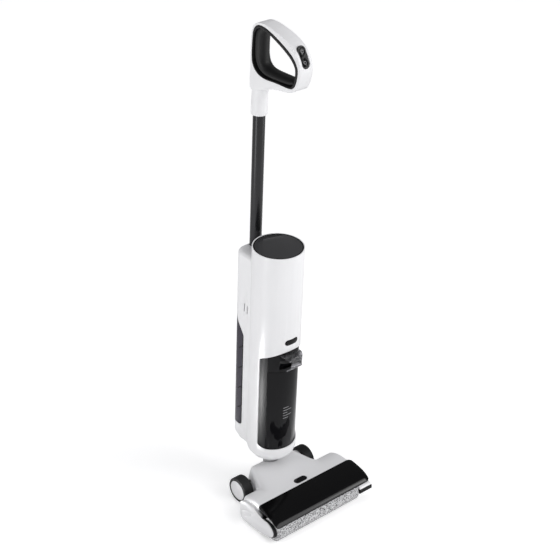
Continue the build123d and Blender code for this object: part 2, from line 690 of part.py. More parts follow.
for offset, name in ((11, "power_button"), (-11, "mode_button")):
    with BuildPart() as button:
        with BuildSketch(panel_plane.offset(-1.4)):
            with Locations((offset, 0)):
                Circle(6.9)
        extrude(amount=2.6)
    write(name, button.part, leaned=True)
# Circuit boards: main board and display board in the cylinder, switch board in the handle.
with BuildPart() as circuit_boards:
    add(upright(44, 610, 611.6))
    add(upright(46, 618, 619.6))
    with BuildSketch(panel_plane.offset(-6.2)):
        Rectangle(38, 16)
    extrude(amount=1.6)
write("circuit_boards", circuit_boards.part, leaned=True)
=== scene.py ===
import json
import math
import random
import bpy
import bmesh
from mathutils import Matrix, Vector, noise


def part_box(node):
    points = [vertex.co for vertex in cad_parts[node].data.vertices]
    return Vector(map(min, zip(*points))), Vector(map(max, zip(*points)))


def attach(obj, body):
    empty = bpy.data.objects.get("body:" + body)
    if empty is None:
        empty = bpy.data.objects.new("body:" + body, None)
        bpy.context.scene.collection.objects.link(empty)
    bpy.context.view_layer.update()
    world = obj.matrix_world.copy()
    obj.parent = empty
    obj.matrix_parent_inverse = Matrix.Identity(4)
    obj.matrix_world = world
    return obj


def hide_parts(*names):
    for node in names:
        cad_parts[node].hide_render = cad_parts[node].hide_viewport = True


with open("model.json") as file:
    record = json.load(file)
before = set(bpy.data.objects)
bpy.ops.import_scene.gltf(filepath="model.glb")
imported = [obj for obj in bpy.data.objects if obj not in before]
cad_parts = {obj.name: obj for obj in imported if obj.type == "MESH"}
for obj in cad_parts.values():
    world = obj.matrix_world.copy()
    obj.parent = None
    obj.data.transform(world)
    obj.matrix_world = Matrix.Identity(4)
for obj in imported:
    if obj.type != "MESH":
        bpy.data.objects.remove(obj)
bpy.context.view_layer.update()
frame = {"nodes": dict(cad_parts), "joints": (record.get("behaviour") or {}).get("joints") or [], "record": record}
print("frame loaded:", len(frame["nodes"]), "nodes")

mm = 0.001
joints = {j["name"]: j for j in frame["joints"]}
pivot = Vector(joints["body_recline"]["pos_m"])      # neck hinge, in metres
bodyUp = Vector(joints["neck_swivel"]["axis"])
leanAngle = math.atan2(-bodyUp.y, bodyUp.z)
bodyY = 54                                           # the body's axis before it leans, in mm
uprightPivot = Vector((0, bodyY, 46))                # the same hinge before the body leans, in mm
headShift = Vector((0, pivot.y / mm - uprightPivot.y, 0))
bodyOf = {node: body for body, names in frame["record"]["behaviour"]["bodies"].items() for node in names}


# camera, lights, sky and floor, in metres and watts; a softbox is name, place, target, size, power
studio = {
    "eye": (-1.6831, -1.9847, 2.0238), "forward": (0.5606, 0.6673, -0.4903), "lens": 91.34, "sensor": 36,
    "floorSize": 16.0, "floorColour": (0.93, 0.93, 0.93, 1), "floorRoughness": 0.9, "floorGlow": 0.34,
    "skyLow": (0.8, 0.8, 0.81, 1), "skyHigh": (0.5, 0.5, 0.51, 1), "skyHighFrom": 0.45,
    "skyStrength": 0.95, "skyInGloss": 0.34, "backdrop": (1, 1, 1, 1),
    "keyStrength": 1.25, "keyFrom": (0.6, -1.0, 0.8), "keyAngle": 40,
    "softboxes": (("leftStrip", (-1.9, 0.1, 0.9), (0, 0, 0.5), (0.7, 2.2), 13),
                  ("rightStrip", (1.5, -1.6, 0.8), (0, 0, 0.4), (0.35, 1.8), 8)),
    "card": ("tankCard", (-0.27, 0.05, 0.1), (0, 0.05, 0.1), (0.05, 0.3), 1.6),
}


def aimAt(obj, direction):
    obj.rotation_euler = Vector(direction).to_track_quat("-Z", "Y").to_euler()


def addSoftbox(name, place, target, size, power):
    data = bpy.data.lights.new(name, "AREA")
    data.shape = "RECTANGLE"
    data.size, data.size_y = size
    data.energy = power
    lamp = bpy.data.objects.new(name, data)
    bpy.context.scene.collection.objects.link(lamp)
    lamp.location = place
    aimAt(lamp, Vector(target) - Vector(place))
    return lamp


def buildCamera():
    scene = bpy.context.scene
    camData = bpy.data.cameras.new("studioCamera")
    camData.lens = studio["lens"]
    camData.sensor_width = studio["sensor"]
    camera = bpy.data.objects.new("studioCamera", camData)
    scene.collection.objects.link(camera)
    camera.location = studio["eye"]
    aimAt(camera, studio["forward"])
    scene.camera = camera
    scene.view_settings.view_transform = "Standard"


def buildLights():
    sunData = bpy.data.lights.new("keySun", "SUN")
    sunData.energy = studio["keyStrength"]
    sunData.angle = math.radians(studio["keyAngle"])
    sun = bpy.data.objects.new("keySun", sunData)
    bpy.context.scene.collection.objects.link(sun)
    aimAt(sun, -Vector(studio["keyFrom"]))
    for softbox in studio["softboxes"]:
        addSoftbox(*softbox)
    # a narrow card that shows only in reflections, as a bright line down the glossy tank
    card = addSoftbox(*studio["card"])
    card.visible_camera = False
    card.visible_diffuse = False
    card.visible_transmission = False


def buildSky():
    world = bpy.data.worlds.new("studioSky")
    bpy.context.scene.world = world
    world.use_nodes = True
    tree = world.node_tree
    tree.nodes.clear()
    coords = tree.nodes.new("ShaderNodeTexCoord")
    split = tree.nodes.new("ShaderNodeSeparateXYZ")
    ramp = tree.nodes.new("ShaderNodeValToRGB")
    ramp.color_ramp.elements[0].position = 0.0
    ramp.color_ramp.elements[0].color = studio["skyLow"]
    ramp.color_ramp.elements[1].position = studio["skyHighFrom"]
    ramp.color_ramp.elements[1].color = studio["skyHigh"]
    glow = tree.nodes.new("ShaderNodeBackground")
    plain = tree.nodes.new("ShaderNodeBackground")
    plain.inputs["Color"].default_value = studio["backdrop"]
    mixer = tree.nodes.new("ShaderNodeMixShader")
    path = tree.nodes.new("ShaderNodeLightPath")
    output = tree.nodes.new("ShaderNodeOutputWorld")
    # polished faces see a dimmer sky than matt ones, so that black stays black
    dim = tree.nodes.new("ShaderNodeMapRange")
    dim.inputs["To Min"].default_value = studio["skyStrength"]
    dim.inputs["To Max"].default_value = studio["skyInGloss"]
    tree.links.new(path.outputs["Is Glossy Ray"], dim.inputs["Value"])
    tree.links.new(dim.outputs[0], glow.inputs["Strength"])
    tree.links.new(coords.outputs["Generated"], split.inputs[0])
    tree.links.new(split.outputs["Z"], ramp.inputs[0])
    tree.links.new(ramp.outputs["Color"], glow.inputs["Color"])
    tree.links.new(path.outputs["Is Camera Ray"], mixer.inputs[0])
    tree.links.new(glow.outputs[0], mixer.inputs[1])
    tree.links.new(plain.outputs[0], mixer.inputs[2])
    tree.links.new(mixer.outputs[0], output.inputs[0])


def buildFloor():
    bm = bmesh.new()
    bmesh.ops.create_grid(bm, x_segments=1, y_segments=1, size=studio["floorSize"] / 2)
    mesh = bpy.data.meshes.new("floor")
    bm.to_mesh(mesh)
    bm.free()
    floor = bpy.data.objects.new("floor", mesh)
    bpy.context.scene.collection.objects.link(floor)
    paint = bpy.data.materials.new("floorPaint")
    paint.use_nodes = True
    shader = paint.node_tree.nodes["Principled BSDF"]
    shader.inputs["Base Color"].default_value = studio["floorColour"]
    shader.inputs["Roughness"].default_value = studio["floorRoughness"]
    # the floor glows for the camera alone, so that it stays white without lighting the underside
    path = paint.node_tree.nodes.new("ShaderNodeLightPath")
    glow = paint.node_tree.nodes.new("ShaderNodeMath")
    glow.operation = "MULTIPLY"
    glow.inputs[1].default_value = studio["floorGlow"]
    shader.inputs["Emission Color"].default_value = studio["backdrop"]
    paint.node_tree.links.new(path.outputs["Is Camera Ray"], glow.inputs[0])
    paint.node_tree.links.new(glow.outputs[0], shader.inputs["Emission Strength"])
    mesh.materials.append(paint)


buildCamera()
buildLights()
buildSky()
buildFloor()
print("studio ready")


# node groups: each gives a colour, a roughness and a height to the shader
surfaceValues = {
    "fineDetail": 3.0, "slowDetail": 4.0, "slowScale": 14.0, "lineDetail": 4.0, "yarnDetail": 2.0,
    "gapEdge": (0.44, 0.55), "threadShare": 0.45, "fibreRoughness": (0.95, 0.75),
}


def makeGroup(name, inputs):
    group = bpy.data.node_groups.new(name, "ShaderNodeTree")
    for label, kind, value in inputs:
        socket = group.interface.new_socket(name=label, in_out="INPUT", socket_type="NodeSocket" + kind)
        socket.default_value = value
    for label, kind in (("Colour", "Color"), ("Roughness", "Float"), ("Height", "Float")):
        group.interface.new_socket(name=label, in_out="OUTPUT", socket_type="NodeSocket" + kind)
    place = group.nodes.new("ShaderNodeTexCoord").outputs["Object"]
    return group, group.nodes.new("NodeGroupInput").outputs, group.nodes.new("NodeGroupOutput").inputs, place


def feed(group, slot, value):
    # link a socket, or set a plain value
    if isinstance(value, bpy.types.NodeSocket):
        group.links.new(value, slot)
    else:
        slot.default_value = value


def addMath(group, operation, *values):
    node = group.nodes.new("ShaderNodeMath")
    node.operation = operation
    for slot, value in zip(node.inputs, values):
        feed(group, slot, value)
    return node


def addNoise(group, place, scale, detail):
    node = group.nodes.new("ShaderNodeTexNoise")
    feed(group, node.inputs["Vector"], place)
    feed(group, node.inputs["Scale"], scale)
    feed(group, node.inputs["Detail"], detail)
    return node.outputs["Fac"]


def addTone(group, wave, amount):
    # 1 plus the wave about its middle, times the amount
    centred = addMath(group, "SUBTRACT", wave, 0.5).outputs[0]
    return addMath(group, "MULTIPLY_ADD", centred, amount, 1.0).outputs[0]


def addShade(group, colour, tone):
    node = group.nodes.new("ShaderNodeVectorMath")
    node.operation = "SCALE"
    feed(group, node.inputs[0], colour)
    feed(group, node.inputs["Scale"], tone)
    return node.outputs[0]


def mouldGrainGroup():
    # fine moulded grain with slow changes of tone and polish
    group, source, result, place = makeGroup("mouldGrain", [
        ("Colour", "Color", (0.8, 0.8, 0.8, 1)), ("Tone", "Float", 0.04), ("Grain", "Float", 900.0),
        ("Polish", "Float", 0.3), ("Spread", "Float", 0.08)])
    fine = addNoise(group, place, source["Grain"], surfaceValues["fineDetail"])
    slow = addNoise(group, place, surfaceValues["slowScale"], surfaceValues["slowDetail"])
    tone = addTone(group, slow, source["Tone"])
    blend = addMath(group, "ADD", fine, slow).outputs[0]
    shifted = addMath(group, "SUBTRACT", blend, 1.0).outputs[0]
    rough = addMath(group, "MULTIPLY_ADD", shifted, source["Spread"], source["Polish"]).outputs[0]
    feed(group, result["Colour"], addShade(group, source["Colour"], tone))
    feed(group, result["Roughness"], rough)
    feed(group, result["Height"], fine)
    return group


def drawnLinesGroup():
    # long fine lines along one axis, as on drawn or turned metal
    group, source, result, place = makeGroup("drawnLines", [
        ("Colour", "Color", (0.1, 0.1, 0.1, 1)), ("Across", "Vector", (1, 1, 0.02)),
        ("Fineness", "Float", 1800.0), ("Contrast", "Float", 0.3), ("Polish", "Float", 0.3)])
    stretch = group.nodes.new("ShaderNodeVectorMath")
    stretch.operation = "MULTIPLY"
    feed(group, stretch.inputs[0], place)
    feed(group, stretch.inputs[1], source["Across"])
    lines = addNoise(group, stretch.outputs[0], source["Fineness"], surfaceValues["lineDetail"])
    tone = addTone(group, lines, source["Contrast"])
    feed(group, result["Colour"], addShade(group, source["Colour"], tone))
    feed(group, result["Roughness"], addMath(group, "MULTIPLY", tone, source["Polish"]).outputs[0])
    feed(group, result["Height"], lines)
    return group


def fibreGroup():
    # speckled microfibre: light yarn, darker gaps and a few dark threads
    group, source, result, place = makeGroup("fibreSpeckle", [
        ("Light", "Color", (0.6, 0.6, 0.6, 1)), ("Dark", "Color", (0.1, 0.1, 0.1, 1)),
        ("Yarn", "Float", 420.0), ("Cover", "Float", 0.5)])
    yarn = addNoise(group, place, source["Yarn"], surfaceValues["yarnDetail"])
    gap = group.nodes.new("ShaderNodeMapRange")
    low, high = surfaceValues["gapEdge"]
    gap.inputs["From Min"].default_value = low
    gap.inputs["From Max"].default_value = high
    feed(group, gap.inputs["Value"], yarn)
    tuft = group.nodes.new("ShaderNodeTexVoronoi")
    feed(group, tuft.inputs["Vector"], place)
    feed(group, tuft.inputs["Scale"], source["Yarn"])
    spark = group.nodes.new("ShaderNodeSeparateColor")
    feed(group, spark.inputs[0], tuft.outputs["Color"])
    few = addMath(group, "MULTIPLY", spark.outputs[0], surfaceValues["threadShare"]).outputs[0]
    amount = addMath(group, "MULTIPLY_ADD", gap.outputs[0], source["Cover"], few)
    amount.use_clamp = True
    mixer = group.nodes.new("ShaderNodeMix")
    mixer.data_type = "RGBA"
    feed(group, mixer.inputs["Factor"], amount.outputs[0])
    feed(group, mixer.inputs["A"], source["Dark"])
    feed(group, mixer.inputs["B"], source["Light"])
    rough = group.nodes.new("ShaderNodeMapRange")
    low, high = surfaceValues["fibreRoughness"]
    rough.inputs["To Min"].default_value = low
    rough.inputs["To Max"].default_value = high
    feed(group, rough.inputs["Value"], amount.outputs[0])
    feed(group, result["Colour"], [s for s in mixer.outputs if s.type == "RGBA"][0])
    feed(group, result["Roughness"], rough.outputs[0])
    feed(group, result["Height"], amount.outputs[0])
    return group


groups = {"mouldGrain": mouldGrainGroup(), "drawnLines": drawnLinesGroup(), "fibreSpeckle": fibreGroup()}

# each finish: its group, the strength of its bump, the group's values, and what is set on the shader itself
finishes = {
    "whiteShell": (
        "mouldGrain", 0.02,
        {"Colour": (0.84, 0.84, 0.85, 1), "Tone": 0.03, "Grain": 1500, "Polish": 0.34, "Spread": 0.1},
        {"Coat Weight": 0.12, "Coat Roughness": 0.12}),
    "headShell": (
        "mouldGrain", 0.03,
        {"Colour": (0.72, 0.72, 0.73, 1), "Tone": 0.03, "Grain": 1500, "Polish": 0.4, "Spread": 0.1},
        {"Coat Weight": 0.08, "Coat Roughness": 0.2}),
    "greyPlastic": (
        "mouldGrain", 0.05,
        {"Colour": (0.38, 0.38, 0.39, 1), "Tone": 0.06, "Grain": 1200, "Polish": 0.42, "Spread": 0.12},
        {}),
    "hubPlastic": (
        "mouldGrain", 0.05,
        {"Colour": (0.7, 0.7, 0.71, 1), "Tone": 0.05, "Grain": 1200, "Polish": 0.45, "Spread": 0.12},
        {}),
    "darkPlastic": (
        "mouldGrain", 0.08,
        {"Colour": (0.01, 0.01, 0.011, 1), "Tone": 0.3, "Grain": 1400, "Polish": 0.42, "Spread": 0.2},
        {"Specular IOR Level": 0.25}),
    "blackGloss": (
        "mouldGrain", 0.0,
        {"Colour": (0.003, 0.003, 0.0033, 1), "Tone": 0.2, "Grain": 300, "Polish": 0.1, "Spread": 0.05},
        {"Specular IOR Level": 0.24}),
    "displayGlass": (
        "mouldGrain", 0.0,
        {"Colour": (0.045, 0.045, 0.047, 1), "Tone": 0.08, "Grain": 300, "Polish": 0.07, "Spread": 0.04},
        {"Specular IOR Level": 0.3}),
    "softGrip": (
        "mouldGrain", 0.2,
        {"Colour": (0.007, 0.007, 0.0075, 1), "Tone": 0.25, "Grain": 1700, "Polish": 0.5, "Spread": 0.12},
        {"Specular IOR Level": 0.4}),
    "rubber": (
        "mouldGrain", 0.3,
        {"Colour": (0.008, 0.008, 0.0085, 1), "Tone": 0.35, "Grain": 1100, "Polish": 0.6, "Spread": 0.15},
        {"Specular IOR Level": 0.25}),
    "smokedTank": (
        "mouldGrain", 0.0,
        {"Colour": (0.006, 0.006, 0.007, 1), "Tone": 0.1, "Grain": 200, "Polish": 0.07, "Spread": 0.03},
        {"Transmission Weight": 0.1, "IOR": 1.45, "Specular IOR Level": 0.22}),
    "smokedWindow": (
        "mouldGrain", 0.0,
        {"Colour": (0.05, 0.046, 0.062, 1), "Tone": 0.1, "Grain": 200, "Polish": 0.16, "Spread": 0.04},
        {"Transmission Weight": 0.12, "IOR": 1.45, "Specular IOR Level": 0.35}),
    "clearPlastic": (
        "mouldGrain", 0.0,
        {"Colour": (0.5, 0.5, 0.52, 1), "Tone": 0.02, "Grain": 200, "Polish": 0.05, "Spread": 0.03},
        {"Transmission Weight": 0.95, "IOR": 1.3}),
    "paleMark": (
        "mouldGrain", 0.0,
        {"Colour": (0.35, 0.35, 0.36, 1), "Tone": 0.1, "Grain": 900, "Polish": 0.5, "Spread": 0.1},
        {}),
    "blackTube": (
        "drawnLines", 0.02,
        {"Colour": (0.05, 0.05, 0.052, 1), "Across": (1, 1, 0.01), "Fineness": 2600, "Contrast": 0.4,
         "Polish": 0.26},
        {"Metallic": 0.9}),
    "steel": (
        "drawnLines", 0.04,
        {"Colour": (0.56, 0.56, 0.57, 1), "Across": (0.02, 1, 1), "Fineness": 2200, "Contrast": 0.25,
         "Polish": 0.28},
        {"Metallic": 1.0}),
    "rollerFibre": (
        "fibreSpeckle", 0.6,
        {"Light": (0.66, 0.66, 0.67, 1), "Dark": (0.02, 0.02, 0.022, 1), "Yarn": 430, "Cover": 0.85},
        {"Sheen Weight": 0.2, "Sheen Roughness": 0.6}),
    "filterPaper": (
        "fibreSpeckle", 0.2,
        {"Light": (0.82, 0.81, 0.78, 1), "Dark": (0.6, 0.59, 0.56, 1), "Yarn": 900, "Cover": 0.6},
        {}),
    "boardGreen": (
        "mouldGrain", 0.05,
        {"Colour": (0.01, 0.09, 0.035, 1), "Tone": 0.4, "Grain": 800, "Polish": 0.35, "Spread": 0.2},
        {}),
    "cellWrap": (
        "mouldGrain", 0.02,
        {"Colour": (0.02, 0.12, 0.3, 1), "Tone": 0.2, "Grain": 500, "Polish": 0.3, "Spread": 0.1},
        {}),
}
bumpDistance = 0.0006


def buildMaterial(name):
    groupName, relief, values, shaderValues = finishes[name]
    material = bpy.data.materials.new(name)
    material.use_nodes = True
    tree = material.node_tree
    shader = tree.nodes["Principled BSDF"]
    surface = tree.nodes.new("ShaderNodeGroup")
    surface.node_tree = groups[groupName]
    for label, value in values.items():
        surface.inputs[label].default_value = value
    tree.links.new(surface.outputs["Colour"], shader.inputs["Base Color"])
    tree.links.new(surface.outputs["Roughness"], shader.inputs["Roughness"])
    if relief > 0:
        bump = tree.nodes.new("ShaderNodeBump")
        bump.inputs["Strength"].default_value = relief
        bump.inputs["Distance"].default_value = bumpDistance
        tree.links.new(surface.outputs["Height"], bump.inputs["Height"])
        tree.links.new(bump.outputs["Normal"], shader.inputs["Normal"])
    for label, value in shaderValues.items():
        shader.inputs[label].default_value = value
    return material


materials = {name: buildMaterial(name) for name in finishes}
print("materials ready:", len(materials))


# modelling helpers: pieces are shaped in mm, then put in place in metres

# merge in m; soften and weld in mm; the angles of a flat face, an arris and a smooth edge in degrees
dress = {"merge": 2e-6, "flat": 0.6, "arris": 32, "soften": 0.5, "smooth": 38, "weld": 0.001}


def placeUpright(bm):
    bmesh.ops.translate(bm, verts=bm.verts, vec=-uprightPivot)
    bmesh.ops.scale(bm, verts=bm.verts, vec=(mm, mm, mm))
    bmesh.ops.rotate(bm, verts=bm.verts, cent=(0, 0, 0), matrix=Matrix.Rotation(leanAngle, 3, "X"))
    bmesh.ops.translate(bm, verts=bm.verts, vec=pivot)


def placeHead(bm):
    bmesh.ops.translate(bm, verts=bm.verts, vec=headShift)
    bmesh.ops.scale(bm, verts=bm.verts, vec=(mm, mm, mm))


def placed(bm, place):
    place(bm)
    return bm


def newObject(name, bm):
    mesh = bpy.data.meshes.new(name)
    bm.to_mesh(mesh)
    bm.free()
    obj = bpy.data.objects.new(name, mesh)
    bpy.context.scene.collection.objects.link(obj)
    return obj


def bakeModifiers(obj):
    bpy.context.view_layer.update()
    graph = bpy.context.evaluated_depsgraph_get()
    mesh = bpy.data.meshes.new_from_object(obj.evaluated_get(graph))
    old = obj.data
    obj.modifiers.clear()
    obj.data = mesh
    mesh.name = obj.name
    bpy.data.meshes.remove(old)


def addWall(obj, thickness):
    # the surface is the outside, and the wall grows inwards
    wall = obj.modifiers.new("wall", "SOLIDIFY")
    wall.thickness = thickness * mm
    wall.offset = -1
    bakeModifiers(obj)


def cutWith(obj, cutters, operation="DIFFERENCE"):
    for cutter in cutters:
        step = obj.modifiers.new("cut", "BOOLEAN")
        step.operation = operation
        step.solver = "EXACT"
        step.object = cutter
    bakeModifiers(obj)
    for cutter in cutters:
        bpy.data.objects.remove(cutter)


def smoothByAngle(obj, degrees):
    obj.data.shade_smooth()
    obj.data.set_sharp_from_angle(angle=math.radians(degrees))


def softenEdges(obj, width, segments=3):
    # rounded arrises, so that every edge catches light
    soften = obj.modifiers.new("soften", "BEVEL")
    soften.width = width * mm
    soften.segments = segments
    soften.limit_method = "ANGLE"
    soften.angle_limit = math.radians(dress["arris"])
    soften.harden_normals = True
    soften.use_clamp_overlap = True
    bakeModifiers(obj)


def finishPiece(obj, finish, body, stands, soften, degrees):
    if soften > 0:
        softenEdges(obj, soften)
    smoothByAngle(obj, degrees)
    obj.data.materials.clear()
    obj.data.materials.append(materials[finish])
    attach(obj, body)
    if stands:
        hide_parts(*stands)


def dressNode(node, finish):
    # a merged copy of a CAD node, with rounded arrises
    bm = bmesh.new()
    bm.from_mesh(frame["nodes"][node].data)
    bmesh.ops.remove_doubles(bm, verts=bm.verts, dist=dress["merge"])
    bmesh.ops.dissolve_limit(bm, angle_limit=math.radians(dress["flat"]), verts=bm.verts, edges=bm.edges)
    obj = newObject(node + "Skin", bm)
    finishPiece(obj, finish, bodyOf[node], (node,), dress["soften"], dress["smooth"])


def paintNode(node, finish):
    mesh = frame["nodes"][node].data
    mesh.materials.clear()
    mesh.materials.append(materials[finish])


def addOutline(bm, points, rounding, segments):
    # a filled loop through (x, y, z) corners, each turned into an arc
    verts, edges = addLoop(bm, points)
    bm.faces.new(verts)
    if rounding > 0:
        bmesh.ops.bevel(bm, geom=verts, affect="VERTICES", offset=rounding, segments=segments, profile=0.5,
                        material=-1)


def addLoop(bm, points):
    verts = [bm.verts.new(p) for p in points]
    edges = [bm.edges.new(pair) for pair in zip(verts, verts[1:] + verts[:1])]
    return verts, edges


def extrudeFaces(bm, along):
    made = bmesh.ops.extrude_face_region(bm, geom=bm.faces[:])
    moved = [v for v in made["geom"] if isinstance(v, bmesh.types.BMVert)]
    bmesh.ops.translate(bm, verts=moved, vec=along)


def settle(name, bm, place):
    # normals outwards, then the piece's own place
    bmesh.ops.recalc_face_normals(bm, faces=bm.faces)
    place(bm)
    return newObject(name, bm)


def prism(name, points, rounding, along, place, segments=8):
    # outline extruded by a vector, placed on the body or the head
    bm = bmesh.new()
    addOutline(bm, points, rounding, segments)
    extrudeFaces(bm, along)
    return settle(name, bm, place)


def pin(name, radius, start, end, place, segments):
    bm = bmesh.new()
    start, end = Vector(start), Vector(end)
    turn = (end - start).to_track_quat("Z", "Y").to_matrix().to_4x4()
    bmesh.ops.create_cone(bm, cap_ends=True, segments=segments, radius1=radius, radius2=radius,
                          depth=(end - start).length, matrix=Matrix.Translation((start + end) / 2) @ turn)
    place(bm)
    return newObject(name, bm)


def pill(name, centre, xDirection, normal, length, width, low, high, place):
    # stadium outline on a plane, from low to high along its normal
    bm = bmesh.new()
    xDirection, normal = Vector(xDirection).normalized(), Vector(normal).normalized()
    across = normal.cross(xDirection)
    half = (length - width) / 2
    corners = [Vector(centre) + xDirection * (half + width / 2) * sx + across * width / 2 * sy + normal * low
               for sx, sy in ((1, -1), (1, 1), (-1, 1), (-1, -1))]
    shortOfHalf, arcSteps = 0.01, 12
    addOutline(bm, corners, width / 2 - shortOfHalf, arcSteps)
    extrudeFaces(bm, normal * (high - low))
    bmesh.ops.remove_doubles(bm, verts=bm.verts, dist=dress["weld"])
    return settle(name, bm, place)


# shapes that several pieces share
def softCurve(points, count):
    # even samples of a smooth curve through the points
    samples = []
    last = len(points) - 1
    for step in range(count + 1):
        place = step / count * last
        index = min(int(place), last - 1)
        t = place - index
        p0, p1 = points[max(index - 1, 0)], points[index]
        p2, p3 = points[index + 1], points[min(index + 2, last)]
        samples.append(tuple(
            0.5 * (2 * b + (c - a) * t + (2 * a - 5 * b + 4 * c - d) * t * t
                   + (3 * b - a - 3 * c + d) * t ** 3)
            for a, b, c, d in zip(p0, p1, p2, p3)))
    return samples


def softLoop(points, count):
    # the same curve closed on itself, without its doubled end
    wrapped = list(points[-2:]) + list(points) + list(points[:3])
    samples = softCurve(wrapped, count * (len(wrapped) - 1))
    return samples[2 * count:(2 + len(points)) * count]


def smoothStep(low, high, value):
    t = min(1.0, max(0.0, (value - low) / (high - low)))
    return t * t * (3 - 2 * t)


def skinFromGrid(columns, rows, placeOf):
    # a grid whose every corner is moved to its own place
    bm = bmesh.new()
    bmesh.ops.create_grid(bm, x_segments=columns, y_segments=rows, size=1)
    for vert in bm.verts:
        vert.co = placeOf(round((vert.co.x + 1) / 2 * columns), round((vert.co.y + 1) / 2 * rows))
    return bm


def boxCutter(name, x, y, z, place, rounding=0, segments=8):
    corners = [(x[0], y[0], z[0]), (x[1], y[0], z[0]), (x[1], y[1], z[0]), (x[0], y[1], z[0])]
    return prism(name, corners, rounding, (0, 0, z[1] - z[0]), place, segments)


def sweptRings(rings, segments):
    # ellipses in a row joined into one closed tube; a ring is centre, across, upward, closed by its caps
    bm = bmesh.new()
    loops = []
    for centre, across, upward in rings:
        made = bmesh.ops.create_circle(bm, cap_ends=False, segments=segments, radius=1)
        for vert in made["verts"]:
            vert.co = Vector(centre) + Vector(across) * vert.co.x + Vector(upward) * vert.co.y
        loops.append(list({edge for vert in made["verts"] for edge in vert.link_edges}))
    for first, second in zip(loops, loops[1:]):
        bmesh.ops.bridge_loops(bm, edges=first + second)
    for ends in (loops[0], loops[-1]):
        bmesh.ops.edgeloop_fill(bm, edges=ends)
    bmesh.ops.recalc_face_normals(bm, faces=bm.faces)
    return bm


loopSteps = 8                                        # samples between two points of a smooth side outline


def ringBand(name, outer, inner, half, place):
    # flat ring between two smooth side outlines in (y, z), as wide as the handle
    bm = bmesh.new()
    for points in (outer, inner):
        addLoop(bm, [(-half, y, z) for y, z in softLoop(points, loopSteps)])
    bmesh.ops.triangle_fill(bm, use_beauty=True, edges=bm.edges[:])
    extrudeFaces(bm, (2 * half, 0, 0))
    return settle(name, bm, place)


def pillarOf(name, points, half, place):
    # solid across the handle with a smooth side outline
    bm = bmesh.new()
    bm.faces.new([bm.verts.new((-half, y, z)) for y, z in softLoop(points, loopSteps)])
    extrudeFaces(bm, (2 * half, 0, 0))
    return settle(name, bm, place)


def spunPiece(name, corners, centre, axis, steps, place):
    # closed section turned once about an axis
    bm = bmesh.new()
    verts, edges = addLoop(bm, corners)
    bmesh.ops.spin(bm, geom=verts + edges, cent=centre, axis=axis, angle=2 * math.pi, steps=steps,
                   use_merge=True)
    bmesh.ops.remove_doubles(bm, verts=bm.verts, dist=dress["weld"])
    return settle(name, bm, place)


def joinObjects(name, objects):
    bm = bmesh.new()
    for obj in objects:
        bm.from_mesh(obj.data)
        bpy.data.objects.remove(obj)
    return newObject(name, bm)


# head cover: one skin across the head, low at the wings and rising over the neck
headCover = {
    "leftEnd": -131.3, "rightEnd": 136.2, "endRound": 11.0, "humpFrom": 50.0, "humpTo": 86.0, "wall": 2.2,
    "wing": ((-66, 22), (-66, 44), (-66, 66.3), (-65.3, 68.1), (-63.2, 68.5), (-50, 68.6), (-38, 68.0),
             (-26, 65.8), (-15, 61.6), (-8.6, 57.2), (-6, 50), (-6, 36), (-6, 22)),
    "hump": ((-66, 22), (-66, 44), (-66, 66.3), (-65.3, 68.1), (-63.2, 68.5), (-48, 68.9), (-30, 69.6),
             (-6, 70.8), (24, 71.5), (47, 70.6), (58.5, 64), (65.5, 44), (71.6, 22)),
    "endPull": ((0, 0), (0, 0), (0, -1), (0, -1), (0, -1), (0, -1), (0, -1), (-0.15, -1), (-0.45, -0.95),
                (-0.8, -0.8), (-0.95, -0.45), (-1, 0), (-1, 0)),
    "rows": 60, "middleSteps": 96, "endSteps": 10, "crown": 68.5,
    "neckHole": (21.6, (0, 54.5, 40), (0, 54.5, 90)), "neckSlot": ((-21.6, 21.6), (54.5, 95), (28, 90)),
    "buttonAt": (0, -53, 0), "buttonHole": (34.8, 16.8, 58, 80),       # length, width, from, to
    "beltGap": ((106.5, 133.5), (-70, -60), (23, 58)), "axleHole": (4.6, (-95, 46, 30), (95, 46, 30)),
}


